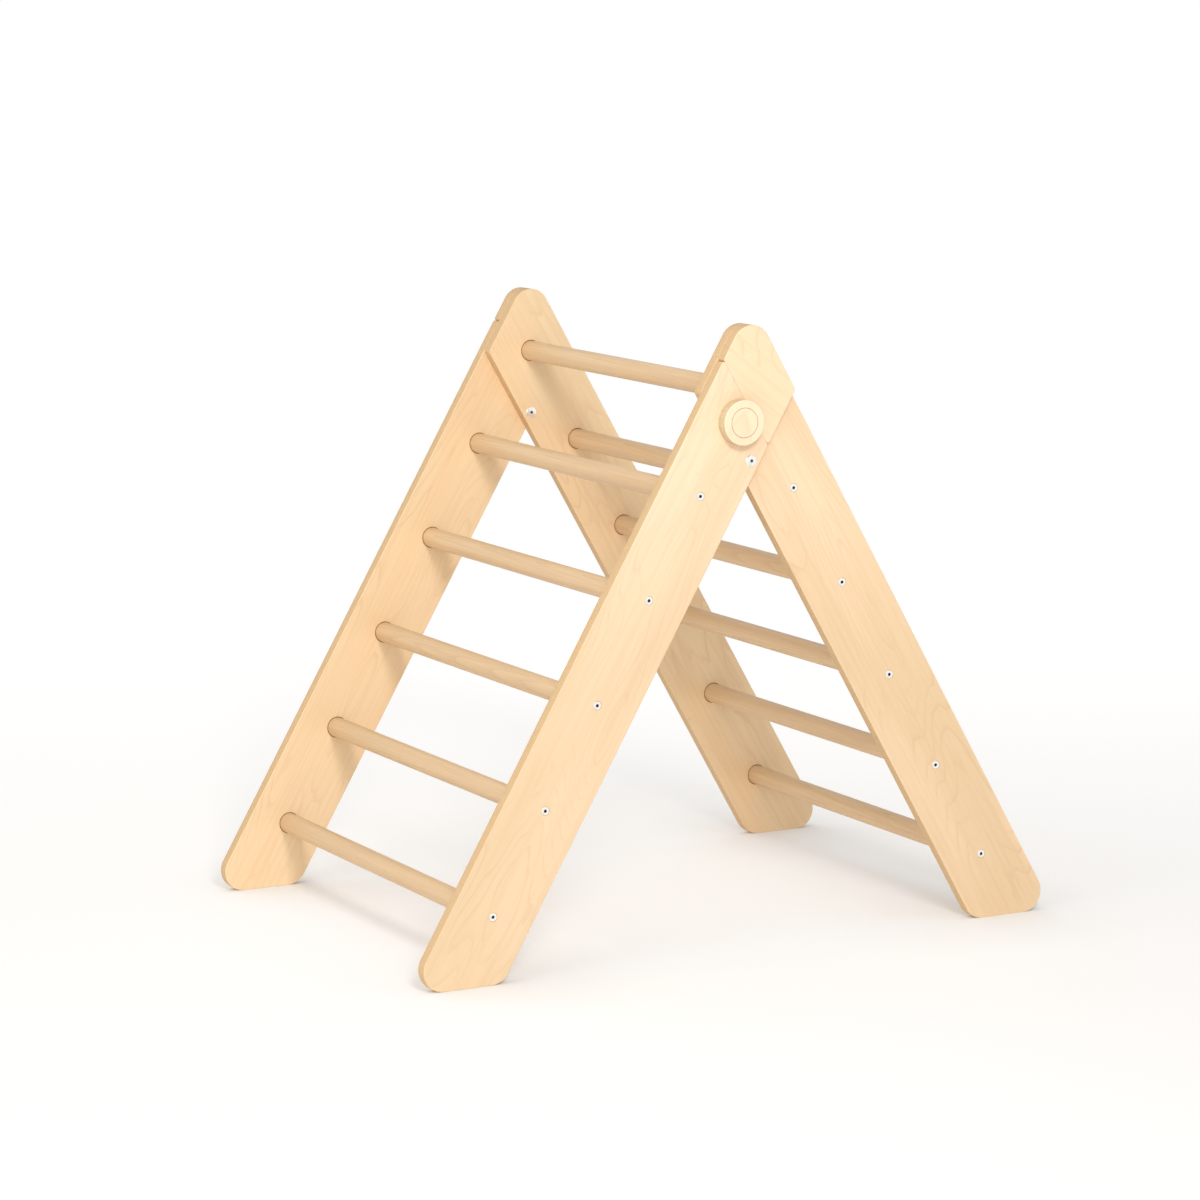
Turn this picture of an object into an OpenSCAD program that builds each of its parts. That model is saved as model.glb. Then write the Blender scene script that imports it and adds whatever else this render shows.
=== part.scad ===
// Folding climbing triangle for small children: two ladders of beech rungs between birch
// plywood side panels, hinged near the top. The front ladder's panels lie outside the rear
// ladder's. A cap on each rear panel carries on the outer layer up to the apex, and the end
// of the front panel butts against it, which stops the ladders at their open angle. A wooden
// knob on each side clamps the front panel to the rear one.
//
// X runs from the front ladder's feet to the rear ladder's, Y runs along the rungs and Z is
// up. The origin is on the floor under the middle of the frame. Sizes are in millimetres.
// "Down" is measured along a ladder from the level of the crotch, where the inner edges
// cross, and "in" is measured square to the ladder from its inner edge towards its outer one.

/* [Frame] */
// Lean of each ladder from upright, in degrees
lean = 30; // [26:1:32]
// Height above the floor of the crotch, where the ladders' inner edges cross
crotch_h = 667; // [640:1:900]
// Width over the outer faces of the front ladder's panels
frame_w = 700; // [500:10:900]

/* [Side panels] */
// Width of a panel between its inner and outer edges
panel_w = 122; // [112:1:140]
// Thickness of the plywood
panel_t = 18; // [17:1:22]
// Radius of the feet and of the apex
corner_r = 30; // [15:1:34]
// Radius of the corner where a rear panel and its cap reach the other ladder's outer edge
side_corner_r = 6; // [2:1:12]
// Radius that eases the sharp ends of the seam
seam_corner_r = 2; // [1:0.5:4]
// Running gap between the front panel's end and the cap, across the seam
seam_gap = 0.3; // [0.2:0.1:0.6]
// Distance that the seam keeps beyond the line where the stop would bind on the pivot
seam_spare = 6; // [3:0.5:10]

/* [Rungs] */
// Diameter of a rung
rung_d = 30; // [25:1:34]
// Distance between rung centres along a ladder
rung_pitch = 160; // [140:1:165]
// Distance of the first front rung down from the crotch
first_rung = 55; // [45:1:60]
// Distance of the rung centres in from the inner edge
rung_in = 60; // [54:1:66]
// Depth of the blind recess that a rung's end sits in
rung_seat = 8; // [5:0.5:9]
// Radial glue gap between a rung and its recess
rung_gap = 0.15; // [0.05:0.05:0.3]
// Chamfer round a rung's ends
rung_chamfer = 1; // [0.5:0.5:2]

/* [Rung screws] */
// Diameter of a screw's head
screw_head_d = 12; // [10:0.5:14]
// Height of the straight rim of the head, above its cone
screw_rim = 0.8; // [0.5:0.1:1.2]
// Diameter of the plain shank in the panel
screw_shank_d = 7; // [6:0.5:8]
// Diameter of the core in the rung
screw_core_d = 5; // [4:0.5:5.5]
// Length of the screw from the top of its head to its tip
screw_l = 50; // [40:5:60]
// Width across the flats of the head's hexagon socket
screw_hex = 4; // [3:0.5:4.5]
// Depth of the head's socket
screw_hex_deep = 2.5; // [1.5:0.5:3]
// Radial gap round the screws and round other fixed pins
pin_gap = 0.1; // [0.05:0.05:0.2]

/* [Pivot] */
// Distance of the pivot in from both ladders' inner edges
pivot_in = 13.5; // [12.5:0.5:15]
// Outer diameter of the sleeve that the front panel turns on
sleeve_d = 10; // [9:0.5:12]
// Distance that the sleeve stops short of the front panel's outer face
sleeve_short = 1.5; // [1:0.5:3]
// Depth of the sleeve's threaded bore
sleeve_bore_deep = 29; // [24:1:30]
// Diameter of the bolt in the sleeve
bolt_d = 6; // [5:0.5:6]
// Length of the bolt under its head
bolt_l = 28; // [20:1:30]
// Diameter of the heads of the bolt and the sleeve
pivot_head_d = 17; // [15:0.5:20]
// Height of those heads
pivot_head_h = 2.2; // [1.8:0.1:3]
// Chamfer round those heads
pivot_head_chamfer = 0.6; // [0.3:0.1:1]
// Width across the flats of their hexagon sockets
pivot_hex = 4; // [3:0.5:4.5]
// Depth of those sockets
pivot_hex_deep = 3; // [2:0.5:4]
// Radial running clearance of every part that turns or slides on a pin
run_gap = 0.05; // [0.02:0.01:0.1]

/* [Knobs] */
// Diameter of a knob
knob_d = 63; // [56:1:70]
// Thickness of a knob
knob_t = 18; // [17:1:24]
// Chamfer round both faces of a knob
knob_chamfer = 1.2; // [0.5:0.1:3]
// Diameter of the plain ring engraved on the knob's face
knob_ring_d = 41; // [34:1:48]
// Width of that ring's groove
knob_ring_w = 1; // [0.6:0.1:1.5]
// Depth of that ring's groove
knob_ring_deep = 0.6; // [0.3:0.1:1]
// Distance of the knob up the front ladder from the crotch
knob_up = 61; // [56:1:66]
// Distance of the knob in from the front ladder's inner edge
knob_in = 59; // [55:1:62]
// Diameter of the knob's stud
stud_d = 8; // [6:0.5:8]
// Length of the stud held inside the knob
stud_in_knob = 13; // [10:0.5:14]
// Length of the stud in the rear panel
stud_in_panel = 13; // [10:0.5:13.5]
// Chamfer on the stud's ends
stud_chamfer = 0.8; // [0.4:0.1:1.2]
// Outer diameter of the steel bushes in the knob and in the rear panel
bush_d = 12; // [11:0.5:14]
// Length of those bushes
bush_l = 14; // [14:0.5:15]
// Gap on each side of the stud in the front panel's slot
slot_gap = 0.5; // [0.3:0.1:1]

/* [Cap dowels] */
// Diameter of the dowels that fix a cap to its rear panel
dowel_d = 8; // [6:1:10]
// Length of a dowel in each of the two pieces
dowel_half_l = 12; // [8:1:13]
// Chamfer on a dowel's ends
dowel_chamfer = 1; // [0.5:0.5:1.5]
// Distance of both dowels in from the edges that meet at their corner of the cap
dowel_in = 18; // [14:1:22]
// Extra length of a blind hole beyond the pin in it
hole_spare = 0.5; // [0.3:0.1:1]

/* [Hidden] */
$fn = 72;
front_rungs = 5;
rear_rungs = 6;
SIDES = ["near", "far"];
cut = 1; // how far a cutting tool reaches past the face it opens
hair = 0.002; // how much larger an arc is than the one that just touches its lines

birch = [0.93, 0.79, 0.58];
beech = [0.86, 0.70, 0.50];
nickel = [0.80, 0.80, 0.82];
steel = [0.62, 0.62, 0.64];

// The seam lies parallel to the rear ladder, this far in from its inner edge. Any closer to
// the pivot and the front panel's end would press into the cap as the ladders fold.
seam_in = pivot_in * tan(2 * lean) / tan(lean) + seam_spare;
pivot = [0, crotch_h + pivot_in / sin(lean)];
stud_at = front_point(-knob_up, knob_in);
// Depths are measured inwards from the front panel's outer face.
rear_face = panel_t;
rear_back = 2 * panel_t;
screw_cone = (screw_head_d - screw_shank_d) / 2;

// A point of the front ladder's side view, and its mirror image on the rear ladder
function front_point(down, in) =
    [-down * sin(lean) - in * cos(lean), crotch_h - down * cos(lean) + in * sin(lean)];
function rear_point(down, in) = [-front_point(down, in).x, front_point(down, in).y];

// How far down the front ladder a line this far in from its inner edge meets the floor, and
// where it meets a line that is so far in from the rear ladder's inner edge
function down_to_floor(in) = (crotch_h + in * sin(lean)) / cos(lean);
function down_to_rear(in, rear_in) = -(rear_in + in * cos(2 * lean)) / sin(2 * lean);

function unit(v) = v / norm(v);

// A convex outline whose corners have the given radii, as true arcs
module rounded(points, radii) {
    count = len(points);
    difference() {
        polygon(points);
        for (i = [0:count - 1])
            corner_tip(points[i], points[(i + count - 1) % count], points[(i + 1) % count], radii[i]);
    }
}

// The tip that rounding takes off a corner, beyond an arc that touches both of its sides
module corner_tip(at, last, next, r) {
    to_last = unit(last - at);
    to_next = unit(next - at);
    half = acos(to_last * to_next) / 2;
    centre = at + unit(to_last + to_next) * r / sin(half);
    kite = [centre, at + to_last * r / tan(half), at, at + to_next * r / tan(half)];
    translate(centre) difference() {
        polygon([for (point = kite) 2 * (point - centre)]);
        circle(r + hair);
    }
}

// The same on the near side and, mirrored, on the far side
module on_side(side) {
    if (side == "far") mirror([0, 1, 0]) children();
    else children();
}

// Raises a side view into a plate of one layer, between two depths
module plate(from, to) {
    translate([0, -frame_w / 2 + to, 0]) rotate([90, 0, 0]) linear_extrude(to - from) children();
}

// A round drill along Y at a point of the side view, between two depths
module drill(at, d, from, to) {
    translate([at.x, -frame_w / 2 + from, at.y]) rotate([-90, 0, 0]) cylinder(d = d, h = to - from);
}

// A turned piece: its profile gives [radius, depth] points
module turned(at, profile) {
    translate([at.x, -frame_w / 2, at.y]) rotate([-90, 0, 0]) rotate_extrude() polygon(profile);
}

// A hexagon socket sunk from a depth
module hex_socket(at, flats, from, deep) {
    translate([at.x, -frame_w / 2 + from - cut, at.y]) rotate([-90, 0, 0])
        cylinder(d = flats / cos(30), h = deep + cut, $fn = 6);
}

// Where the rungs are, front and rear
function front_rung_at(i) = front_point(first_rung + (i - 1) * rung_pitch, rung_in);
function rear_rung_at(i) = rear_point(first_rung + (i - 2) * rung_pitch, rung_in);

// The corners of the side views, shared by the pieces that meet there
function foot_outer() = front_point(down_to_floor(panel_w), panel_w);
function foot_inner() = front_point(down_to_floor(0), 0);
function side_corner() = front_point(down_to_rear(0, panel_w), 0);
function apex() = front_point(down_to_rear(panel_w, panel_w), panel_w);
function seam_low(rear_in) = front_point(down_to_rear(0, rear_in), 0);
function seam_high(rear_in) = front_point(down_to_rear(panel_w, rear_in), panel_w);

module front_outline() {
    rear_in = seam_in - seam_gap;
    rounded([foot_outer(), foot_inner(), seam_low(rear_in), seam_high(rear_in)],
        [corner_r, corner_r, seam_corner_r, seam_corner_r]);
}

module rear_outline() {
    mirror([1, 0]) rounded([foot_outer(), foot_inner(), side_corner(), apex()],
        [corner_r, corner_r, side_corner_r, corner_r]);
}

module cap_outline() {
    rounded([seam_low(seam_in), side_corner(), apex(), seam_high(seam_in)],
        [seam_corner_r, side_corner_r, corner_r, seam_corner_r]);
}

// The slot that lets the front panel swing clear of the stud: an arc round the pivot, from
// the stud out through the panel's end
module stud_slot() {
    arm = stud_at - pivot;
    reach = norm(arm);
    half_w = stud_d / 2 + slot_gap;
    start = atan2(arm.y, arm.x);
    end = lean + acos((seam_in - pivot_in) / reach) - 2 * asin(half_w / reach);
    far = 2 * reach;
    translate(stud_at) circle(half_w + hair);
    translate(pivot) intersection() {
        difference() {
            circle(reach + half_w);
            circle(reach - half_w);
        }
        polygon([[0, 0], far * [cos(start), sin(start)], far * [cos(end), sin(end)]]);
    }
}

// The hole for one rung's end: the screw's countersink and clearance hole from the outer
// face, and the rung's recess in the inner one
module rung_hole(at, face) {
    back = face + panel_t;
    head_r = screw_head_d / 2 + pin_gap;
    shank_r = screw_shank_d / 2 + pin_gap;
    recess_r = rung_d / 2 + rung_gap;
    turned(at, [
        [0, face - cut], [head_r, face - cut], [head_r, face + screw_rim],
        [shank_r, face + screw_rim + screw_cone], [shank_r, back - rung_seat],
        [recess_r, back - rung_seat], [recess_r, back + cut], [0, back + cut]]);
}

module front_panel() {
    color(birch) difference() {
        plate(0, panel_t) difference() {
            front_outline();
            translate(pivot) circle(sleeve_d / 2 + run_gap);
            stud_slot();
        }
        for (i = [1:front_rungs]) rung_hole(front_rung_at(i), 0);
    }
}

module rear_panel() {
    color(birch) difference() {
        plate(rear_face, rear_back) difference() {
            rear_outline();
            translate(pivot) circle(sleeve_d / 2 + run_gap);
        }
        for (i = [1:rear_rungs]) rung_hole(rear_rung_at(i), rear_face);
        drill(stud_at, bush_d + 2 * pin_gap, rear_face - cut, rear_face + bush_l + hole_spare);
        dowel_holes();
    }
}

module apex_cap() {
    color(birch) difference() {
        plate(0, panel_t) cap_outline();
        dowel_holes();
    }
}

// One dowel stands in the apex's corner of the cap and one in its side corner, each as far
// in from both of the edges that meet there
function dowel_points() = let (side_in = panel_w - dowel_in)
    [front_point(down_to_rear(side_in, side_in), side_in),
     front_point(down_to_rear(dowel_in, side_in), dowel_in)];

module dowel_holes() {
    reach = dowel_half_l + hole_spare;
    for (at = dowel_points())
        drill(at, dowel_d + 2 * pin_gap, rear_face - reach, rear_face + reach);
}

module cap_dowels() {
    r = dowel_d / 2;
    c = dowel_chamfer;
    from = rear_face - dowel_half_l;
    to = rear_face + dowel_half_l;
    color(beech) for (at = dowel_points())
        turned(at, [[0, from], [r - c, from], [r, from + c], [r, to - c], [r - c, to], [0, to]]);
}

// A rung between panels whose inner faces lie at this depth: it reaches the floor of its
// recess on both sides, and has a pilot bore in each end
module rung(at, end) {
    r = rung_d / 2;
    c = rung_chamfer;
    bore_r = screw_core_d / 2 + pin_gap;
    from = end - rung_seat;
    bored = end - panel_t + screw_l + hole_spare;
    color(beech) turned(at, [
        [0, bored], [bore_r, bored], [bore_r, from], [r - c, from], [r, from + c],
        [r, frame_w - from - c], [r - c, frame_w - from], [bore_r, frame_w - from],
        [bore_r, frame_w - bored], [0, frame_w - bored]]);
}

module front_rung(i) {
    rung(front_rung_at(i), panel_t);
}

module rear_rung(i) {
    rung(rear_rung_at(i), rear_back);
}

// A flat-headed furniture screw, driven in from a panel's outer face
module rung_screw(at, face) {
    head_r = screw_head_d / 2;
    shank_r = screw_shank_d / 2;
    core_r = screw_core_d / 2;
    web = panel_t - rung_seat;
    color(nickel) difference() {
        turned(at, [
            [0, face], [head_r, face], [head_r, face + screw_rim],
            [shank_r, face + screw_rim + screw_cone], [shank_r, face + web],
            [core_r, face + web], [core_r, face + screw_l - core_r], [0, face + screw_l]]);
        hex_socket(at, screw_hex, face, screw_hex_deep);
    }
}

module front_rung_screws() {
    for (i = [1:front_rungs]) rung_screw(front_rung_at(i), 0);
}

module rear_rung_screws() {
    for (i = [1:rear_rungs]) rung_screw(rear_rung_at(i), rear_face);
}

// The bolt's head bears on the front panel, and its shank screws into the sleeve
module pivot_bolt() {
    head_r = pivot_head_d / 2;
    c = pivot_head_chamfer;
    color(nickel) difference() {
        turned(pivot, [
            [0, -pivot_head_h], [head_r - c, -pivot_head_h], [head_r, c - pivot_head_h],
            [head_r, 0], [bolt_d / 2, 0], [bolt_d / 2, bolt_l], [0, bolt_l]]);
        hex_socket(pivot, pivot_hex, -pivot_head_h, pivot_hex_deep);
    }
}

// The sleeve's head bears on the rear panel's inner face, and both panels sit on its barrel
module pivot_sleeve() {
    head_r = pivot_head_d / 2;
    c = pivot_head_chamfer;
    top = rear_back + pivot_head_h;
    bore_r = bolt_d / 2 + pin_gap;
    bore_end = sleeve_short + sleeve_bore_deep;
    color(nickel) difference() {
        turned(pivot, [
            [bore_r, sleeve_short], [sleeve_d / 2, sleeve_short], [sleeve_d / 2, rear_back],
            [head_r, rear_back], [head_r, top - c], [head_r - c, top], [0, top],
            [0, bore_end], [bore_r, bore_end]]);
        translate([0, 2 * (rear_back - frame_w / 2) + pivot_head_h, 0]) mirror([0, 1, 0])
            hex_socket(pivot, pivot_hex, rear_back, pivot_hex_deep);
    }
}

// A steel tube with a threaded bore for the stud, between two depths
module bush(from, to) {
    bore_r = stud_d / 2 + run_gap;
    color(steel) turned(stud_at, [
        [bore_r, from], [bush_d / 2, from], [bush_d / 2, to], [bore_r, to]]);
}

module panel_insert() {
    bush(rear_face, rear_face + bush_l);
}

module knob_bush() {
    bush(-bush_l, 0);
}

// The knob is a plain plywood disc with an engraved ring and a blind hole for its bush
module knob_disc() {
    r = knob_d / 2;
    c = knob_chamfer;
    hole_r = bush_d / 2 + pin_gap;
    hole_end = -bush_l - hole_spare;
    ring_in = (knob_ring_d - knob_ring_w) / 2;
    ring_out = (knob_ring_d + knob_ring_w) / 2;
    floor_y = knob_ring_deep - knob_t;
    color(birch) turned(stud_at, [
        [hole_r, 0], [r - c, 0], [r, -c], [r, c - knob_t], [r - c, -knob_t],
        [ring_out, -knob_t], [ring_out, floor_y], [ring_in, floor_y], [ring_in, -knob_t],
        [0, -knob_t], [0, hole_end], [hole_r, hole_end]]);
}

module knob_stud() {
    r = stud_d / 2;
    c = stud_chamfer;
    from = -stud_in_knob;
    to = rear_face + stud_in_panel;
    color(steel) turned(stud_at, [
        [0, from], [r - c, from], [r, from + c], [r, to - c], [r - c, to], [0, to]]);
}

for (side = SIDES) on_side(side) {
    front_panel();
    front_rung_screws();
    rear_panel();
    apex_cap();
    cap_dowels();
    rear_rung_screws();
    pivot_bolt();
    pivot_sleeve();
    panel_insert();
    knob_disc();
    knob_bush();
    knob_stud();
}
for (i = [1:front_rungs])
    front_rung(i);
for (i = [1:rear_rungs])
    rear_rung(i);
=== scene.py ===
# Folding climbing triangle: birch plywood side panels and caps, turned beech rungs, nickel
# screws and pivots, and a plywood clamping knob on each side. Lengths are in metres.
import math

import bmesh
import bpy
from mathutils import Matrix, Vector


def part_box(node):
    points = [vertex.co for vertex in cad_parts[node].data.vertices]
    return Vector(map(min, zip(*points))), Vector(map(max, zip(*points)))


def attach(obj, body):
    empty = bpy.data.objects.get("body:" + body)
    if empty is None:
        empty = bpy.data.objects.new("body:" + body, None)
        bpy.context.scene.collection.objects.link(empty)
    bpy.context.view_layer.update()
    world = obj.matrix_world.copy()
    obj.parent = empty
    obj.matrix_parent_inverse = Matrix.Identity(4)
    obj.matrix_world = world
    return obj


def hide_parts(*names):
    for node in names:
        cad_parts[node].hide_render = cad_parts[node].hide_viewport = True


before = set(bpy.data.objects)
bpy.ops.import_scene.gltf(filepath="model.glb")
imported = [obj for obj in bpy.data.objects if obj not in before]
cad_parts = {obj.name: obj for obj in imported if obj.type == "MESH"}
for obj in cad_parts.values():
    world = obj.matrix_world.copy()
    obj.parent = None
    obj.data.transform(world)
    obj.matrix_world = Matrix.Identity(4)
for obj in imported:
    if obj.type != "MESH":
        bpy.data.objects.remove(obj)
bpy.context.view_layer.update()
print("frame loaded:", len(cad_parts), "nodes")


def addObject(name, data):
    made = bpy.data.objects.new(name, data)
    bpy.context.scene.collection.objects.link(made)
    return made


def emptyTree(owner):  # of a material or the world
    owner.use_nodes = True
    owner.node_tree.nodes.clear()
    return owner.node_tree


def newFinish(name):
    material = bpy.data.materials.new(name)
    return material, emptyTree(material)


# Small helpers for node trees: a value may be a number, a colour or another node's output.
def node(tree, kind, inputs=None, **settings):
    made = tree.nodes.new(kind)
    for name, value in settings.items():
        setattr(made, name, value)
    for name, value in (inputs or {}).items():
        if isinstance(value, bpy.types.NodeSocket):
            tree.links.new(value, made.inputs[name])
        else:
            made.inputs[name].default_value = value
    return made


def calc(tree, operation, *values):
    return node(tree, "ShaderNodeMath", dict(enumerate(values)), operation=operation).outputs[0]


def calcVector(tree, operation, *values):
    return node(tree, "ShaderNodeVectorMath", dict(enumerate(values)), operation=operation).outputs[0]


def mixColour(tree, factor, first, second):
    return node(tree, "ShaderNodeMix", {0: factor, 6: first, 7: second}, data_type="RGBA").outputs[2]


def noise(tree, vector, scales, detail=2.0):
    stretched = calcVector(tree, "MULTIPLY", vector, scales)
    return node(tree, "ShaderNodeTexNoise",
                {"Vector": stretched, "Scale": 1.0, "Detail": detail}).outputs[0]


def fade(tree, value, low, high, toLow=0.0, toHigh=1.0):
    return node(tree, "ShaderNodeMapRange", {0: value, 1: low, 2: high, 3: toLow, 4: toHigh},
                interpolation_type="SMOOTHSTEP").outputs[0]


def blend(tree, factor, first, second):  # between two values, as mixColour does between two colours
    return node(tree, "ShaderNodeMix", {0: factor, 2: first, 3: second}).outputs[0]


def joinVector(tree, x=0.0, y=0.0, z=0.0):
    return node(tree, "ShaderNodeCombineXYZ", {0: x, 1: y, 2: z}).outputs[0]


def length(tree, vector):
    return node(tree, "ShaderNodeVectorMath", {0: vector}, operation="LENGTH").outputs["Value"]


def linear(value):
    return value / 12.92 if value <= 0.04045 else ((value + 0.055) / 1.055) ** 2.4


def tone(red, green, blue):  # a colour picked on screen, 0 to 255
    return tuple(linear(value / 255) for value in (red, green, blue)) + (1.0,)


# Camera, lamps and floor
view = {
    "pictureSide": 1200,          # pixels along each side of the picture
    "focalPixels": 4114.0,        # focal length in those pixels
    "sensor": 36.0,               # millimetres
    "place": (-2.825744, -5.210485, 1.405797),
    "azimuth": -28.054,           # degrees from +Y, towards +X where negative
    "elevation": 9.159,           # degrees above the level
}
studio = {
    "skyLeft": 0.95,              # strengths of the two halves of the sky that light the object
    "skyRight": 0.38,
    "skyBlend": 0.2,
    "key": {"place": (-0.95, -2.95, 2.25), "side": 0.7, "power": 46.2},
    "left": {"place": (-2.6, -0.6, 1.8), "side": 1.8, "power": 17.4},
    "aim": (0.0, 0.0, 0.4),
    "floorHalf": 40.0,
    "floorTone": (234, 232, 229),
    "seenTone": (220, 218, 215),  # the same floor to the camera, which also sees a glow
    "glow": 0.32,                 # at the origin
    "glowRise": 0.09,             # more for each metre along "glowAcross", away from the camera
    "glowAcross": (0.469, 0.883, 0.0),
    "bounce": 0.23,               # glow that lights the object from below
    "contact": 0.22,              # reach of the shade close under and round the object
    "whiteFrom": 1.6,             # distance at which the floor starts to turn plain white
    "whiteTo": 3.0,
}


def addCamera():
    lens = bpy.data.cameras.new("camera")
    lens.sensor_width = view["sensor"]
    lens.lens = view["focalPixels"] * view["sensor"] / view["pictureSide"]
    camera = addObject("camera", lens)
    camera.location = view["place"]
    camera.rotation_euler = (math.radians(90 - view["elevation"]), 0, math.radians(view["azimuth"]))
    bpy.context.scene.camera = camera


def isSeen(tree):  # by the camera, in a reflection or through glass
    rays = node(tree, "ShaderNodeLightPath")
    seen = calc(tree, "MAXIMUM", rays.outputs["Is Camera Ray"], rays.outputs["Is Glossy Ray"])
    return calc(tree, "MAXIMUM", seen, rays.outputs["Is Transmission Ray"])


def addWorld():
    world = bpy.data.worlds.new("studio")
    bpy.context.scene.world = world
    tree = emptyTree(world)
    direction = node(tree, "ShaderNodeTexCoord").outputs["Generated"]
    across = node(tree, "ShaderNodeSeparateXYZ", {0: direction}).outputs["X"]
    sky = fade(tree, across, -studio["skyBlend"], studio["skyBlend"], studio["skyLeft"],
               studio["skyRight"])
    strength = blend(tree, isSeen(tree), sky, 1.0)
    background = node(tree, "ShaderNodeBackground", {"Color": (1, 1, 1, 1), "Strength": strength})
    node(tree, "ShaderNodeOutputWorld", {"Surface": background.outputs[0]})


def addLamp(name):
    data = bpy.data.lights.new(name, "AREA")
    data.size = studio[name]["side"]
    data.energy = studio[name]["power"]
    lamp = addObject(name, data)
    lamp.location = studio[name]["place"]
    aim = Vector(studio["aim"]) - lamp.location
    lamp.rotation_euler = aim.to_track_quat("-Z", "Y").to_euler()


def addFloor():
    half = studio["floorHalf"]
    mesh = bpy.data.meshes.new("floor")
    mesh.from_pydata([(-half, -half, 0), (half, -half, 0), (half, half, 0), (-half, half, 0)], [],
                     [(0, 1, 2, 3)])
    material, tree = newFinish("studioFloor")
    place = node(tree, "ShaderNodeTexCoord").outputs["Object"]
    away = fade(tree, length(tree, place), studio["whiteFrom"], studio["whiteTo"])
    across = node(tree, "ShaderNodeVectorMath", {0: place, 1: studio["glowAcross"]},
                  operation="DOT_PRODUCT").outputs["Value"]
    glow = calc(tree, "MULTIPLY_ADD", across, studio["glowRise"], studio["glow"])
    clear = node(tree, "ShaderNodeAmbientOcclusion", {"Distance": studio["contact"]}).outputs["AO"]
    glow = calc(tree, "MULTIPLY", glow, clear)
    seen = mixColour(tree, away, tone(*studio["seenTone"]), (0, 0, 0, 1))
    strength = blend(tree, isSeen(tree), studio["bounce"], blend(tree, away, glow, 1.0))
    shader = node(tree, "ShaderNodeBsdfPrincipled", {
        "Base Color": mixColour(tree, isSeen(tree), tone(*studio["floorTone"]), seen),
        "Roughness": 0.9, "Specular IOR Level": 0.0, "Emission Color": (1, 1, 1, 1),
        "Emission Strength": strength})
    node(tree, "ShaderNodeOutputMaterial", {"Surface": shader.outputs[0]})
    mesh.materials.append(material)
    floor = addObject("floor", mesh)


bpy.context.scene.view_settings.view_transform = "Standard"
addCamera()
addWorld()
for lamp in ("key", "left"):
    addLamp(lamp)
addFloor()
print("camera, lamps and floor set")


# The effects that several finishes share, each as one node group. A pattern's three scales say
# roughly how often it repeats in a metre. In wood the third is the one along the grain.
fibreForm = {
    "broad": (230, 230, 5), "fine": (1100, 1100, 22), "fineShare": 0.4,
    "fleck": (850, 850, 95), "fleckFrom": 0.66, "fleckTo": 0.74,
}
figureForm = {
    "through": 24.0,              # scale through the sheet of the hills whose contours are the lines
    "hillDetail": 0.8,
    "ripple": (80, 20, 10), "rippleShare": 0.03,
    "lateness": 6.0,              # the higher, the thinner the dark line in each ring
    "lineEnd": 0.92,              # share of a ring at which its dark line starts to end
    "patch": (20, 10, 4.0), "patchFrom": 0.40, "patchTo": 0.60, "patchLeast": 0.15,
    "cloud": (13, 12, 2.6), "cloudFrom": 0.3, "cloudTo": 0.7,
    "band": (190, 30, 4.0),
}
plyForm = {
    "wave": (30, 90, 30), "waviness": 0.24,  # as a share of a ply
    "glueFrom": 0.40, "glueTo": 0.48,        # away from a ply's middle, as shares of the ply
    "shade": (9, 9, 9), "shadeStep": 7.31,   # metres that a ply's shade is off the last one's
}
handlingForm = {"soil": (6, 6, 6), "soilFrom": 0.45, "soilTo": 0.8, "rub": (28, 28, 28)}


def newGroup(name, inputs, outputs):
    tree = bpy.data.node_groups.new(name, "ShaderNodeTree")
    for way, sockets in (("INPUT", inputs), ("OUTPUT", outputs)):
        for socket in sockets:
            kind = "Vector" if socket in ("Vector", "Grain") else "Float"
            tree.interface.new_socket(socket, in_out=way, socket_type="NodeSocket" + kind)
    return tree, node(tree, "NodeGroupInput").outputs


def useGroup(tree, group, inputs):
    return node(tree, "ShaderNodeGroup", inputs, node_tree=group).outputs


def makeFibres():  # fine streaks along Z and short dark flecks, in any sawn or turned wood
    tree, given = newGroup("woodFibres", ["Vector", "Fineness"], ["Streak", "Fleck"])
    scaled = node(tree, "ShaderNodeVectorMath", {0: given["Vector"], "Scale": given["Fineness"]},
                  operation="SCALE").outputs[0]
    broad = noise(tree, scaled, fibreForm["broad"], 3.0)
    fine = noise(tree, scaled, fibreForm["fine"])
    streak = calc(tree, "ADD", calc(tree, "MULTIPLY", broad, 1 - fibreForm["fineShare"]),
                  calc(tree, "MULTIPLY", fine, fibreForm["fineShare"]))
    spots = noise(tree, scaled, fibreForm["fleck"], 1.0)
    fleck = fade(tree, spots, fibreForm["fleckFrom"], fibreForm["fleckTo"])
    node(tree, "NodeGroupOutput", {"Streak": streak, "Fleck": fleck})
    return tree


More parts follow.
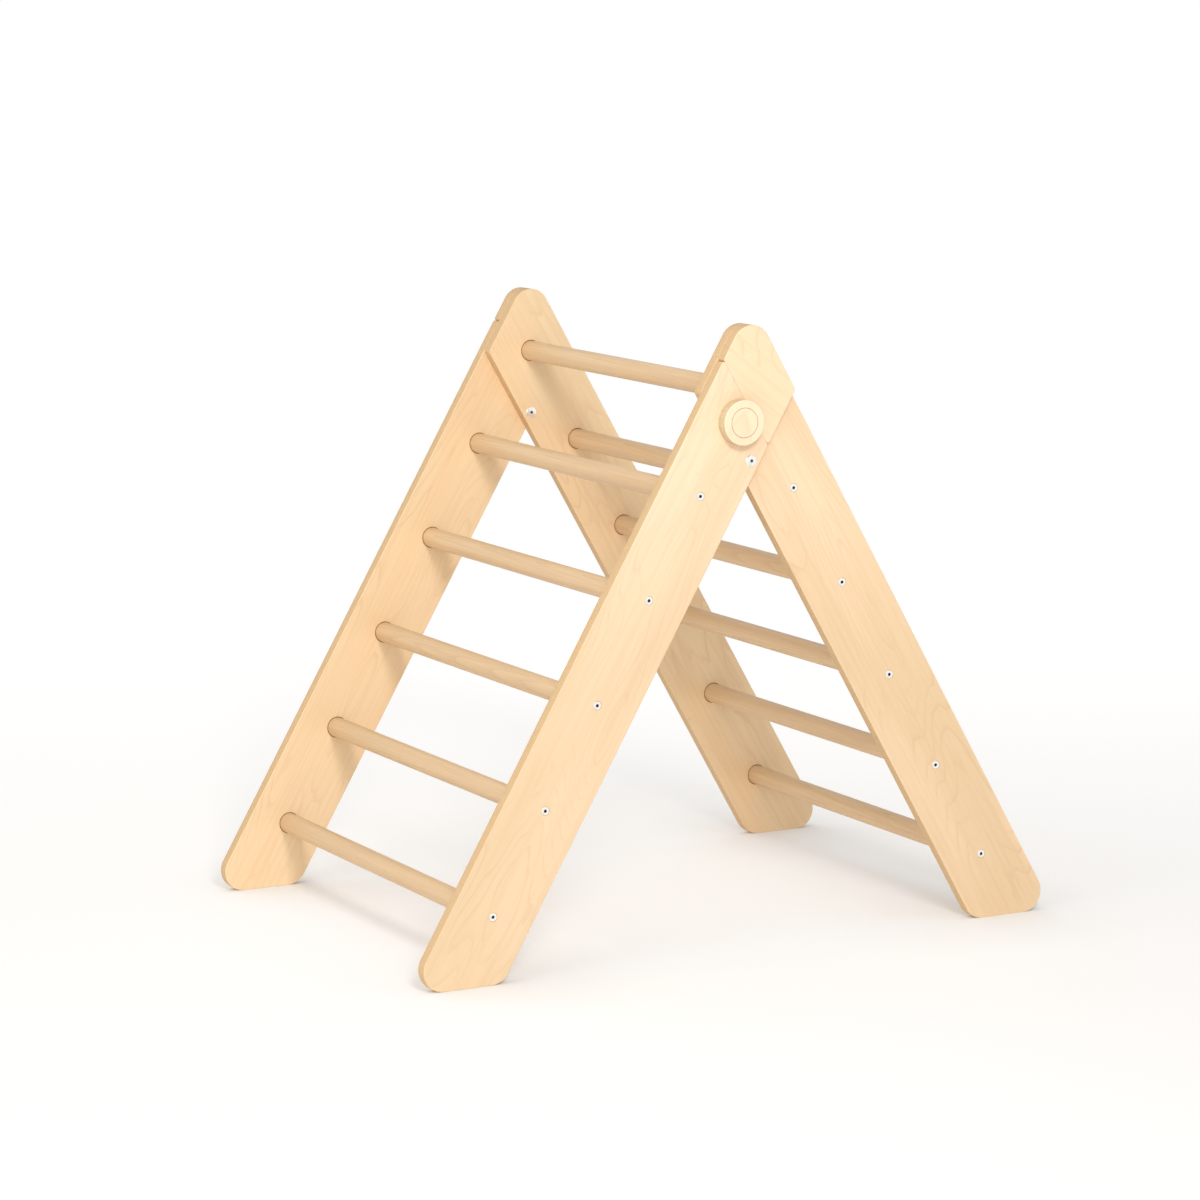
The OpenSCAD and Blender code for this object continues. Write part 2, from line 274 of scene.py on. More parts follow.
def makeFigure():  # the growth lines of a peeled veneer: wavy lines, arches and closed rings
    tree, given = newGroup("veneerFigure", ["Vector", "Turn", "Lines", "Across", "Along"],
                           ["Grain", "Line", "Cloud", "Band"])
    grain = node(tree, "ShaderNodeVectorRotate", {"Vector": given["Vector"], "Angle": given["Turn"]},
                 rotation_type="Y_AXIS").outputs[0]
    form = figureForm
    scales = joinVector(tree, given["Across"], form["through"], given["Along"])
    hill = noise(tree, grain, scales, form["hillDetail"])
    ripple = noise(tree, grain, form["ripple"], 1.0)
    height = calc(tree, "MULTIPLY_ADD", ripple, form["rippleShare"], hill)
    ring = calc(tree, "FRACT", calc(tree, "MULTIPLY", height, given["Lines"]))
    late = calc(tree, "POWER", ring, form["lateness"])
    soft = calc(tree, "MULTIPLY", late, fade(tree, ring, form["lineEnd"], 1.0, 1.0, 0.0))
    patch = noise(tree, grain, form["patch"])
    shown = fade(tree, patch, form["patchFrom"], form["patchTo"], form["patchLeast"])
    line = calc(tree, "MULTIPLY", soft, shown)
    cloud = fade(tree, noise(tree, grain, form["cloud"], 3.0), form["cloudFrom"], form["cloudTo"])
    band = noise(tree, grain, form["band"], 4.0)
    node(tree, "NodeGroupOutput", {"Grain": grain, "Line": line, "Cloud": cloud, "Band": band})
    return tree


def makePlies():  # the layers of a plywood edge, counted from a sheet's inner face
    tree, given = newGroup("plyLayers", ["Vector", "Start", "Sheet", "Plies"],
                           ["Cross", "Glue", "Shade"])
    parts = node(tree, "ShaderNodeSeparateXYZ", {0: given["Vector"]}).outputs
    deep = calc(tree, "SUBTRACT", calc(tree, "ABSOLUTE", parts["Y"]), given["Start"])
    share = calc(tree, "DIVIDE", calc(tree, "MODULO", deep, given["Sheet"]), given["Sheet"])
    waves = noise(tree, given["Vector"], plyForm["wave"])
    wave = calc(tree, "MULTIPLY_ADD", waves, plyForm["waviness"], -plyForm["waviness"] / 2)
    count = calc(tree, "MULTIPLY_ADD", share, given["Plies"], wave)
    number = calc(tree, "FLOOR", count)
    cross = calc(tree, "MODULO", number, 2.0)
    fromMiddle = calc(tree, "ABSOLUTE", calc(tree, "SUBTRACT", calc(tree, "FRACT", count), 0.5))
    glue = fade(tree, fromMiddle, plyForm["glueFrom"], plyForm["glueTo"])
    lift = joinVector(tree, y=calc(tree, "MULTIPLY", number, plyForm["shadeStep"]))
    shade = noise(tree, calcVector(tree, "ADD", given["Vector"], lift), plyForm["shade"])
    node(tree, "NodeGroupOutput", {"Cross": cross, "Glue": glue, "Shade": shade})
    return tree


def makeHandling():  # slight soiling and rubbing that varies over the piece
    tree, given = newGroup("handling", ["Vector"], ["Soil", "Rub"])
    soil = noise(tree, given["Vector"], handlingForm["soil"], 4.0)
    soil = fade(tree, soil, handlingForm["soilFrom"], handlingForm["soilTo"])
    rub = noise(tree, given["Vector"], handlingForm["rub"], 3.0)
    node(tree, "NodeGroupOutput", {"Soil": soil, "Rub": rub})
    return tree


fibres, figure, plies, handling = makeFibres(), makeFigure(), makePlies(), makeHandling()
print("shared effects made")


# Where the frame's pieces stand. The near side has negative Y, and the far side mirrors it.
def middle(name):
    low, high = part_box(name)
    return (low + high) / 2


sides = {"near": 1, "far": -1}
rungs = {"front": [middle(f"front_rung_{i}") for i in range(1, 6)],
         "rear": [middle(f"rear_rung_{i}") for i in range(1, 7)]}
rungRadius = (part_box("front_rung_1")[1].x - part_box("front_rung_1")[0].x) / 2
lean = math.atan2(*(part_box("front_rung_1")[0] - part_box("front_rung_5")[0]).xz)
pivot, studAt = middle("pivot_bolt_near").xz, middle("knob_stud_near").xz
outerFace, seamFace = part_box("front_panel_near")[0].y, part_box("rear_panel_near")[0].y
innerFace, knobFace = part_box("rear_panel_near")[1].y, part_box("knob_disc_near")[0].y


# Finishes
def finishWith(tree, form, colour, touched, height, metallic=0.0):  # "touched" varies the roughness
    rough = calc(tree, "MULTIPLY_ADD", touched["Rub"], form["rubbed"],
                 form["roughness"] - form["rubbed"] / 2)
    bump = node(tree, "ShaderNodeBump", {"Height": height, "Strength": 1.0,
                                         "Distance": form["bumpDepth"]}).outputs[0]
    shader = node(tree, "ShaderNodeBsdfPrincipled", {
        "Base Color": colour, "Metallic": metallic, "Roughness": rough, "Normal": bump})
    node(tree, "ShaderNodeOutputMaterial", {"Surface": shader.outputs[0]})


def marked(tree, name):  # a mark that a piece carries on its faces
    return node(tree, "ShaderNodeAttribute", attribute_name=name).outputs["Fac"]


def stain(tree, colour, mask, share, added):  # as much of another tone as the mask and share say
    return mixColour(tree, calc(tree, "MULTIPLY", mask, share), colour, tone(*added))


recessShade = {"tone": (112, 68, 32), "share": 0.85}  # painted shade: the dark brown line in the gaps round the rungs, in bores and in the knob's ring


# Paints shade where a piece's faces carry the mark.
def paintedShade(tree, colour):
    return stain(tree, colour, marked(tree, "paintedShade"), recessShade["share"], recessShade["tone"])


sheets = {                        # "bold" is how boldly the grain shows on a sheet's outer face
    "front": {"pale": (255, 224, 190), "warm": (231, 203, 163), "bold": 1.1,
              "figure": {"Turn": -lean, "Lines": 30.0, "Across": 10.0, "Along": 2.2},
              "faces": (outerFace, seamFace)},
    "rear": {"pale": (255, 223, 186), "warm": (232, 203, 162), "bold": 1.35,
             "figure": {"Turn": lean, "Lines": 26.0, "Across": 9.0, "Along": 1.7},
             "faces": (seamFace, innerFace)},
    "cap": {"pale": (255, 223, 186), "warm": (252, 214, 175), "bold": 1.1,
            "figure": {"Turn": lean + 0.4, "Lines": 16.0, "Across": 10.0, "Along": 5.0},
            "faces": (outerFace, seamFace)},
    "knob": {"pale": (255, 229, 197), "warm": (253, 222, 185), "bold": 1.0,
             "figure": {"Turn": -lean, "Lines": 8.0, "Across": 9.0, "Along": 3.0},
             "faces": (knobFace, outerFace)},
}
veneer = {                        # the same for all the sheets
    # The inner faces get a darker, more saturated copy of the tones and a steady extra warmth: painted
    # shade and warm bounce from the wood round them.
    "shadedInnerPale": (242, 220, 180), "shadedInnerWarm": (241, 203, 157), "innerBold": 1.3,
    "line": (207, 156, 110), "lineShare": 0.34,
    "bandShare": 0.12, "bandFrom": 0.42, "bandTo": 0.72,
    "streakShare": 0.13, "fleckShare": 0.10,
    "cloudWarmth": 0.4, "innerShadeWarmth": 0.3,
    "lowShade": 0.65,            # painted shade: how much warmer and darker the outer faces are near the floor
    "litFrom": 0.35, "litTo": 0.75,  # heights between which the painted shade gives way to painted light, paler towards the top
    "blend": 0.002,               # from a sheet's middle, where inner and outer tones meet
    "roughness": 0.50, "rubbed": 0.16, "bumpDepth": 0.00006,
}


def makeVeneer(name, sheet):
    material, tree = newFinish(name)
    place = node(tree, "ShaderNodeTexCoord").outputs["Object"]
    drawn = useGroup(tree, figure, {"Vector": place, **sheet["figure"]})
    fibre = useGroup(tree, fibres, {"Vector": drawn["Grain"], "Fineness": 1.0})
    touched = useGroup(tree, handling, {"Vector": place})
    parts = node(tree, "ShaderNodeSeparateXYZ", {0: place}).outputs
    halfway = -sum(sheet["faces"]) / 2  # through the sheet
    outside = fade(tree, calc(tree, "ABSOLUTE", parts["Y"]), halfway - veneer["blend"],
                   halfway + veneer["blend"])
    # Painted light and shade: the outer faces turn paler towards the top and warmer and darker near
    # the floor, while the inner faces carry a steady painted shade. The cloud adds the wood's own
    # random warmth.
    low = fade(tree, parts["Z"], veneer["litFrom"], veneer["litTo"], veneer["lowShade"], 0.0)
    low = blend(tree, outside, veneer["innerShadeWarmth"], low)
    warmthAndShade = calc(tree, "MULTIPLY_ADD", drawn["Cloud"], veneer["cloudWarmth"], low)
    pale = mixColour(tree, outside, tone(*veneer["shadedInnerPale"]), tone(*sheet["pale"]))
    warm = mixColour(tree, outside, tone(*veneer["shadedInnerWarm"]), tone(*sheet["warm"]))
    colour = mixColour(tree, warmthAndShade, pale, warm)
    bold = blend(tree, outside, veneer["innerBold"], sheet["bold"])
    band = fade(tree, drawn["Band"], veneer["bandFrom"], veneer["bandTo"], 0.0, veneer["bandShare"])
    line = calc(tree, "MULTIPLY", drawn["Line"], veneer["lineShare"])
    colour = stain(tree, colour, calc(tree, "MAXIMUM", line, band), bold, veneer["line"])
    streak = calc(tree, "MULTIPLY", fibre["Streak"], veneer["streakShare"])
    fleck = calc(tree, "MULTIPLY", fibre["Fleck"], veneer["fleckShare"])
    colour = stain(tree, colour, calc(tree, "MAXIMUM", streak, fleck), bold, veneer["line"])
    finishWith(tree, veneer, paintedShade(tree, colour), touched, fibre["Streak"])
    return material


edge = {
    "along": (221, 189, 143), "cross": (206, 169, 121), "glue": (160, 120, 76),
    # The knob's side has its own paler copy of the ply tones, which paints the light falling on it.
    "knobLitAlong": (218, 199, 162), "knobLitCross": (205, 185, 146),
    "plies": 13, "glueShare": 0.55, "shadeShare": 0.4,
    "pores": (1300, 1300, 1300), "poresFrom": 0.55, "poresTo": 0.7, "poreShare": 0.25,
    "roughness": 0.62, "rubbed": 0.12, "bumpDepth": 0.00012,
}


def makeEdge(name, along, cross):
    material, tree = newFinish(name)
    place = node(tree, "ShaderNodeTexCoord").outputs["Object"]
    layer = useGroup(tree, plies, {"Vector": place, "Start": -innerFace,
                                   "Sheet": innerFace - seamFace, "Plies": edge["plies"]})
    pores = noise(tree, place, edge["pores"], 1.0)
    touched = useGroup(tree, handling, {"Vector": place})
    colour = mixColour(tree, layer["Cross"], tone(*edge[along]), tone(*edge[cross]))
    colour = stain(tree, colour, layer["Shade"], edge["shadeShare"], edge[cross])
    dots = calc(tree, "MULTIPLY", fade(tree, pores, edge["poresFrom"], edge["poresTo"]),
                calc(tree, "MULTIPLY", layer["Cross"], edge["poreShare"]))
    dark = calc(tree, "MAXIMUM", dots, calc(tree, "MULTIPLY", layer["Glue"], edge["glueShare"]))
    colour = mixColour(tree, dark, colour, tone(*edge["glue"]))
    height = calc(tree, "SUBTRACT", pores, layer["Glue"])
    finishWith(tree, edge, paintedShade(tree, colour), touched, height)
    return material


beech = {
    "pale": (224, 195, 155), "warm": (208, 173, 130), "line": (174, 134, 90),
    "cloud": (30, 30, 2.5),
    "ringWidth": 0.0032, "ripple": (60, 60, 5), "rippleShare": 1.6,  # of a ring
    "lateness": 3.0, "lineShare": 0.24,
    "pithAway": 0.045, "pithLean": 0.03,  # the tree's middle, away from a rung and along it
    "rungTurn": 2.4, "rungShift": 1.37,  # radians and metres that one rung's grain is off the last
    "fineness": 0.8, "streakFrom": 0.32, "streakTo": 0.68, "streakShare": 0.24, "fleckShare": 0.22,
    "roughness": 0.46, "rubbed": 0.16, "bumpDepth": 0.00008,
}


def makeBeech():
    material, tree = newFinish("turnedBeech")
    local = node(tree, "ShaderNodeAttribute", attribute_name="rungPoint").outputs["Vector"]
    number = marked(tree, "rungNumber")
    parts = node(tree, "ShaderNodeSeparateXYZ", {0: local}).outputs
    turn = calc(tree, "MULTIPLY", number, beech["rungTurn"])
    tilt = calc(tree, "MULTIPLY", parts["Y"], beech["pithLean"])
    pithX = calc(tree, "MULTIPLY_ADD", calc(tree, "SINE", turn), beech["pithAway"], tilt)
    pithZ = calc(tree, "MULTIPLY", calc(tree, "COSINE", turn), beech["pithAway"])
    fromPith = joinVector(tree, calc(tree, "ADD", parts["X"], pithX),
                          calc(tree, "ADD", parts["Z"], pithZ))
    shift = calc(tree, "MULTIPLY", number, beech["rungShift"])
    along = joinVector(tree, parts["X"], parts["Z"], calc(tree, "ADD", parts["Y"], shift))
    ripple = calc(tree, "MULTIPLY", noise(tree, along, beech["ripple"]), beech["rippleShare"])
    rings = calc(tree, "DIVIDE", length(tree, fromPith), beech["ringWidth"])
    late = calc(tree, "FRACT", calc(tree, "ADD", rings, ripple))
    late = calc(tree, "POWER", late, beech["lateness"])
    fibre = useGroup(tree, fibres, {"Vector": along, "Fineness": beech["fineness"]})
    touched = useGroup(tree, handling, {"Vector": along})
    cloud = noise(tree, along, beech["cloud"])
    colour = mixColour(tree, cloud, tone(*beech["pale"]), tone(*beech["warm"]))
    colour = stain(tree, colour, late, beech["lineShare"], beech["line"])
    streak = fade(tree, fibre["Streak"], beech["streakFrom"], beech["streakTo"], 0.0,
                  beech["streakShare"])
    fleck = calc(tree, "MULTIPLY", fibre["Fleck"], beech["fleckShare"])
    colour = mixColour(tree, calc(tree, "MAXIMUM", streak, fleck), colour, tone(*beech["line"]))
    finishWith(tree, beech, colour, touched, fibre["Streak"])
    return material


metal = {                         # "bumpDepth" is that of the marks that turning leaves
    "nickel": {"tone": (252, 250, 245), "roughness": 0.27, "rubbed": 0.12, "bumpDepth": 0.000002},
    "steel": {"tone": (167, 168, 171), "roughness": 0.30, "rubbed": 0.12, "bumpDepth": 0.000006},
    "soil": (150, 150, 154), "soilShare": 0.25, "soilScale": (30, 30, 30),
    "deep": (58, 60, 68),         # painted shade in a socket
    "turning": (9000, 9000, 0),
}


def makeMetal(name, kind):  # turned, with fine rings round its axis
    material, tree = newFinish(name)
    local = node(tree, "ShaderNodeAttribute", attribute_name="turnPoint").outputs["Vector"]
    parts = node(tree, "ShaderNodeSeparateXYZ", {0: local}).outputs
    radius = length(tree, joinVector(tree, parts["X"], parts["Z"]))
    turned = noise(tree, joinVector(tree, radius, parts["Y"]), metal["turning"])
    scaled = calcVector(tree, "MULTIPLY", local, metal["soilScale"])
    touched = useGroup(tree, handling, {"Vector": scaled})
    form = metal[kind]
    colour = stain(tree, tone(*form["tone"]), touched["Soil"], metal["soilShare"], metal["soil"])
    # painted shade in the sockets, where the faces carry the mark
    colour = mixColour(tree, marked(tree, "paintedShade"), colour, tone(*metal["deep"]))
    finishWith(tree, form, colour, touched, turned, metallic=1.0)
    return material


finishes = {f"{name}Face": makeVeneer(f"{name}Veneer", sheet) for name, sheet in sheets.items()}
finishes.update({
    "edge": makeEdge("plyEdge", "along", "cross"),
    "knobEdge": makeEdge("knobPlyEdge", "knobLitAlong", "knobLitCross"),
    "beech": makeBeech(),
    "nickel": makeMetal("nickelPlate", "nickel"),
    "steel": makeMetal("turnedSteel", "steel"),
})
print("finishes made:", ", ".join(finishes))


# The side view, as (x, z) points. "Down" runs along a ladder from the level of the crotch, where
# the inner edges cross, and "inward" runs square to it, from its inner edge towards its outer one.
shape = {
    "rungIn": 0.060,              # rung centres in from the inner edge
    "panelWidth": 0.122,
    "cornerRadius": 0.030,        # feet and apex
    "sideCornerRadius": 0.006,
    "crotchCornerRadius": 0.004,  # where the seam ends at the inner edges
    "notchCornerRadius": 0.003,   # where it ends at the outer ones
    "seamSpare": 0.006,
    "seamGap": 0.00015,
    "slotGap": 0.0005,
    "dowelIn": 0.018,
    "arris": 0.0008,              # radius that eases the long edges
    "gluedArris": 0.0002,         # the same where a cap is glued to its panel
    "seamShare": 0.12,            # how much of that easing the seam gets
    "leastRadius": 0.00001,       # of a corner once it is set in
    "turnStep": 4.0,              # degrees of an arc to one straight piece
    "leastSteps": 3,              # pieces in the shortest arc
    "slotSteps": (10, 18),        # pieces along the slot's sides and round its end
}
topRung = rungs["front"][0]
crotch = topRung.z - topRung.x / math.tan(lean) - shape["rungIn"] / math.sin(lean)
pivotIn = (pivot.y - crotch) * math.sin(lean)
seamIn = pivotIn * math.tan(2 * lean) / math.tan(lean) + shape["seamSpare"]


def frontPoint(down, inward):
    return Vector((-down * math.sin(lean) - inward * math.cos(lean),
                   crotch - down * math.cos(lean) + inward * math.sin(lean)))


def downToFloor(inward):
    return (crotch + inward * math.sin(lean)) / math.cos(lean)


def downToRear(inward, rearInward):  # where it meets a line so far in on the rear ladder
    return -(rearInward + inward * math.cos(2 * lean)) / math.sin(2 * lean)


def footCorners():
    width = shape["panelWidth"]
    return [frontPoint(downToFloor(width), width), frontPoint(downToFloor(0), 0)]


def topCorners(rearInward):
    width = shape["panelWidth"]
    return [frontPoint(downToRear(0, rearInward), 0), frontPoint(downToRear(width, rearInward), width)]


def arc(centre, radius, start, end, steps):
    turns = [start + (end - start) * i / steps for i in range(steps + 1)]
    return [centre + radius * Vector((math.cos(turn), math.sin(turn))) for turn in turns]


def cornerArcs(corners, radii, insets):  # one arc a corner of a convex outline, each side set in
    arcs = []
    for i, at in enumerate(corners):
        arriving = (at - corners[i - 1]).normalized()
        leaving = (corners[(i + 1) % len(corners)] - at).normalized()
        first, second = Vector((arriving.y, -arriving.x)), Vector((leaving.y, -leaving.x))
        radius = max(radii[i] - (insets[i - 1] + insets[i]) / 2, shape["leastRadius"])
        before, after, cross = radius + insets[i - 1], radius + insets[i], first.dot(second)
        away = first * (before - after * cross) + second * (after - before * cross)
        centre = at - away / (1 - cross ** 2)
        start, turn = math.atan2(first.y, first.x), first.angle(second)
        steps = max(shape["leastSteps"], math.ceil(math.degrees(turn) / shape["turnStep"]))
        arcs.append(arc(centre, radius, start, start + turn, steps))
    return arcs


def slotOutline(inset):  # the slot round the stud, from the panel's end and back to it
    arm = studAt - pivot
    halfWidth = studRadius + shape["slotGap"] + inset
    seamAway = seamIn - shape["seamGap"] - pivotIn - inset * shape["seamShare"]
    start = math.atan2(arm.y, arm.x)
    low, high = arm.length - halfWidth, arm.length + halfWidth
    lowEnd, highEnd = lean + math.acos(seamAway / low), lean + math.acos(seamAway / high)
    sideSteps, endSteps = shape["slotSteps"]
    return (arc(pivot, low, lowEnd, start, sideSteps)[:-1]
            + arc(studAt, halfWidth, start + math.pi, start, endSteps)
            + arc(pivot, high, start, highEnd, sideSteps)[1:])


def frontOutline(inset):
    corners = footCorners() + topCorners(seamIn - shape["seamGap"])
    radii = [shape["cornerRadius"]] * 2 + [shape["crotchCornerRadius"], shape["notchCornerRadius"]]
    arcs = cornerArcs(corners, radii, [inset, inset, inset * shape["seamShare"], inset])
    return arcs[0] + arcs[1] + arcs[2] + slotOutline(inset) + arcs[3]


def rearOutline(inset):
    corners = footCorners() + topCorners(shape["panelWidth"])
    radii = [shape["cornerRadius"]] * 2 + [shape["sideCornerRadius"], shape["cornerRadius"]]
    arcs = cornerArcs(corners, radii, [inset] * 4)
    return [Vector((-point.x, point.y)) for part in arcs for point in part]


def capOutline(inset):
    seam, top = topCorners(seamIn), topCorners(shape["panelWidth"])
    radii = [shape["crotchCornerRadius"], shape["sideCornerRadius"], shape["cornerRadius"],
             shape["notchCornerRadius"]]
    insets = [inset] * 3 + [inset * shape["seamShare"]]
    arcs = cornerArcs([seam[0], *top, seam[1]], radii, insets)
    return [point for part in arcs for point in part]


# Meshes: rings of points, joined by bands of faces. Each band has a material and a share of painted
# shade.
flatFace, cutEdge = 0, 1
meshing = {
    "roundSides": 48, "discSides": 96,
    "easeTurns": (0, 30, 60, 90),  # degrees round an eased edge, from the face to the cut edge
    "flat": 0.0000001,            # a band that rises less than this lies flat
    "merge": 0.000001,
    "crease": 38,                 # degrees between faces from which their edge stays sharp
}


def addRing(mesh, points, y):
    return [mesh.verts.new((point.x, y, point.y)) for point in points]


def addBands(mesh, rings, finishAt, shadeAt):
    share = mesh.faces.layers.float["paintedShade"]
    for index, (first, second) in enumerate(zip(rings, rings[1:])):
        for i in range(max(len(first), len(second))):
            corners = [first[i % len(first)], first[(i + 1) % len(first)],
                       second[(i + 1) % len(second)], second[i % len(second)]]
            face = mesh.faces.new(list(dict.fromkeys(corners)))
            face.material_index = finishAt[index]
            face[share] = shadeAt[index]
            face.smooth = abs(first[0].co.y - second[0].co.y) > meshing["flat"]


def fillFace(mesh, loops):
    edges = [mesh.edges.get((loop[i - 1], loop[i])) for loop in loops for i in range(len(loop))]
    made = bmesh.ops.triangle_fill(mesh, use_beauty=True, edges=edges, normal=(0, -1, 0))
    for face in [item for item in made["geom"] if isinstance(item, bmesh.types.BMFace)]:
        face.material_index = flatFace


def newMesh():
    mesh = bmesh.new()
    mesh.faces.layers.float.new("paintedShade")
    return mesh


def easedSteps():  # how far in from the outline and down from the face, as shares of the radius
    turns = [math.radians(turn) for turn in meshing["easeTurns"]]
    return [(1 - math.sin(turn), 1 - math.cos(turn)) for turn in turns]


def makePlate(outlineAt, holes, outer, inner, outerArris, innerArris):
    mesh = newMesh()
    rings = [addRing(mesh, outlineAt(outerArris * across), outer + outerArris * deep)
             for across, deep in easedSteps()]
    rings += [addRing(mesh, outlineAt(innerArris * across), inner - innerArris * deep)
              for across, deep in reversed(easedSteps())]
    addBands(mesh, rings, [flatFace] * 2 + [cutEdge] * 3 + [flatFace] * 2, [0] * 7)
    loops = {outer: [rings[0]], inner: [rings[-1]]}
    for at, profile, shadeAt in holes:
        bore = [addRing(mesh, arc(at, radius, 0, 2 * math.pi, meshing["roundSides"])[:-1], y)
                for radius, y in profile]
        addBands(mesh, bore, [cutEdge] * (len(bore) - 1), shadeAt)
        for ring, y in ((bore[0], profile[0][1]), (bore[-1], profile[-1][1])):
            if y in loops:
                loops[y].append(ring)
            else:
                mesh.faces.new(ring).material_index = cutEdge
    for found in loops.values():
        fillFace(mesh, found)
    return mesh


def hexRadius(flats, turn):  # of a hexagon, given the distance across its flats
    return flats / 2 / math.cos((turn + math.pi / 6) % (math.pi / 3) - math.pi / 6)


# A row of a profile is (radius, y), with a third item where the row is a hexagon.
def makeTurned(profile, count=meshing["roundSides"], finishAt=None, shadeAt=None):
    mesh = newMesh()
    rings = []
    for radius, y, *form in profile:
        if radius == 0:
            rings.append([mesh.verts.new((0, y, 0))])
            continue
        turns = [2 * math.pi * i / count for i in range(count)]
        radii = [hexRadius(2 * radius, turn) if form else radius for turn in turns]
        rings.append([mesh.verts.new((r * math.cos(turn), y, r * math.sin(turn)))
                      for r, turn in zip(radii, turns)])
    if profile[0] == profile[-1]:  # a ring, closed through its bore
        for vert in rings[-1]:
            mesh.verts.remove(vert)
        rings[-1] = rings[0]
    bands = len(rings) - 1
    addBands(mesh, rings, finishAt or [0] * bands, shadeAt or [0] * bands)
    return mesh


def finishMesh(mesh, name, materials, place=None, mirrored=False):
    local = mesh.verts.layers.float_vector.new("turnPoint")
    for vert in mesh.verts:
        vert[local] = vert.co
        if place:
            vert.co += Vector(place)
        if mirrored:
            vert.co.y = -vert.co.y
    bmesh.ops.remove_doubles(mesh, verts=mesh.verts, dist=meshing["merge"])
    bmesh.ops.recalc_face_normals(mesh, faces=mesh.faces)
    for border in mesh.edges:
        border.smooth = border.calc_face_angle(0) < math.radians(meshing["crease"])
    data = bpy.data.meshes.new(name)
    mesh.to_mesh(data)
    mesh.free()
    for material in materials:
        data.materials.append(material)
    return data


def addPiece(name, data, body, slot, *nodes):
    piece = addObject(name, data)
    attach(piece, body)
    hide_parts(*nodes)


# Bores in the panels
bores = {
    "headRadius": 0.0061, "rim": 0.0008, "shankRadius": 0.0036, "cone": 0.0025,
    "seat": 0.008, "seatGap": 0.0002, "headEase": 0.0003, "seatEase": 0.0009,
    "pivotRadius": 0.00505, "insertRadius": 0.0061, "insertDeep": 0.0145,
    "dowelRadius": 0.0041, "dowelDeep": 0.0125, "studRadius": 0.004,
    # shares of painted shade on the walls of the bores
    "paintedShade": 0.3,
    "rungShade": (0.1, 0.3, 0.5, 0.5, 0.5, 0.7, 1.0),  # painted shade, from the countersink to the seat's rim
}
studRadius = bores["studRadius"]


def rungBore(at, outer, inner):  # the countersink outside and the rung's seat inside, as one bore
    head, shank, seat = bores["headRadius"], bores["shankRadius"], rungRadius + bores["seatGap"]
    headEase, seatEase = bores["headEase"], bores["seatEase"]
    cone, floor = outer + bores["rim"], inner - bores["seat"]
    profile = [(head + headEase, outer), (head, outer + headEase), (head, cone),
               (shank, cone + bores["cone"]), (shank, floor), (seat, floor),
               (seat, inner - seatEase), (seat + seatEase, inner)]
    return at, profile, bores["rungShade"]


def plainBore(at, radius, start, end):
    return at, [(radius, start), (radius, end)], [bores["paintedShade"]]


def dowelBores(side):  # into a rear panel's outer face, or into a cap's inner one
    width, inset = shape["panelWidth"], shape["dowelIn"]
    points = [frontPoint(downToRear(width - inset, width - inset), width - inset),
              frontPoint(downToRear(inset, width - inset), inset)]
    end = seamFace + side * bores["dowelDeep"]
    return [plainBore(at, bores["dowelRadius"], seamFace, end) for at in points]


def addPlates(name, face, body, *form):
    for side, sign in sides.items():
        data = finishMesh(makePlate(*form), f"{name}_{side}", [finishes[face], finishes["edge"]],
                          mirrored=sign < 0)
        addPiece(f"{name}_{side}_wood", data, body, "birch_ply", f"{name}_{side}")


def addPanels():
    frontHoles = [rungBore(rung.xz, outerFace, seamFace) for rung in rungs["front"]]
    frontHoles.append(plainBore(pivot, bores["pivotRadius"], outerFace, seamFace))
    rearHoles = [rungBore(rung.xz, seamFace, innerFace) for rung in rungs["rear"]]
    rearHoles += [plainBore(pivot, bores["pivotRadius"], seamFace, innerFace),
                  plainBore(studAt, bores["insertRadius"], seamFace, seamFace + bores["insertDeep"])]
    rearHoles += dowelBores(1)
    arris, glued = shape["arris"], shape["gluedArris"]
    addPlates("front_panel", "frontFace", "front_ladder",
              frontOutline, frontHoles, outerFace, seamFace, arris, arris)
    addPlates("rear_panel", "rearFace", "rear_ladder",
              rearOutline, rearHoles, seamFace, innerFace, glued, arris)
    addPlates("apex_cap", "capFace", "rear_ladder",
              capOutline, dowelBores(-1), outerFace, seamFace, arris, glued)


addPanels()
print("panels and caps made")


# Knobs: a plywood disc with a rounded edge, an engraved ring and a steel bush, on a threaded stud
knob = {
    # The share given with the ring paints shade into its groove.
    "arris": 0.0012, "ring": 0.0205, "ringWidth": 0.0009, "ringDeep": 0.0005, "ringShade": 0.7,
    "boreRadius": 0.0061, "boreDeep": 0.0145, "bushRadius": 0.006, "bushBore": 0.00405,
    "bushLength": 0.014, "bushChamfer": 0.0004,
    "pitch": 0.00125, "threadDeep": 0.00068, "flank": 2.4, "crest": 0.15,
    "rowsPerPitch": 8, "threadSides": 36, "studChamfer": 0.0008,
}


def knobProfile():
    radius = (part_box("knob_disc_near")[1].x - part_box("knob_disc_near")[0].x) / 2
    thick, ease = outerFace - knobFace, knob["arris"]
    front = [(radius - ease * across, ease * deep) for across, deep in easedSteps()]
    back = [(r, thick - y) for r, y in reversed(front)]
    ringIn, ringOut = knob["ring"] - knob["ringWidth"] / 2, knob["ring"] + knob["ringWidth"] / 2
    rows = [(0, 0), (ringIn, 0), (ringIn, knob["ringDeep"]), (ringOut, knob["ringDeep"]), (ringOut, 0)]
    rows += front + back
    rows += [(knob["boreRadius"], thick), (knob["boreRadius"], thick - knob["boreDeep"]),
             (0, thick - knob["boreDeep"])]
    finishAt = [flatFace] * 7 + [cutEdge] * 3 + [flatFace] * 3 + [cutEdge] * 2
    shadeAt = [0] + [knob["ringShade"]] * 3 + [0] * 9 + [bores["paintedShade"]] * 2
    return rows, finishAt, shadeAt


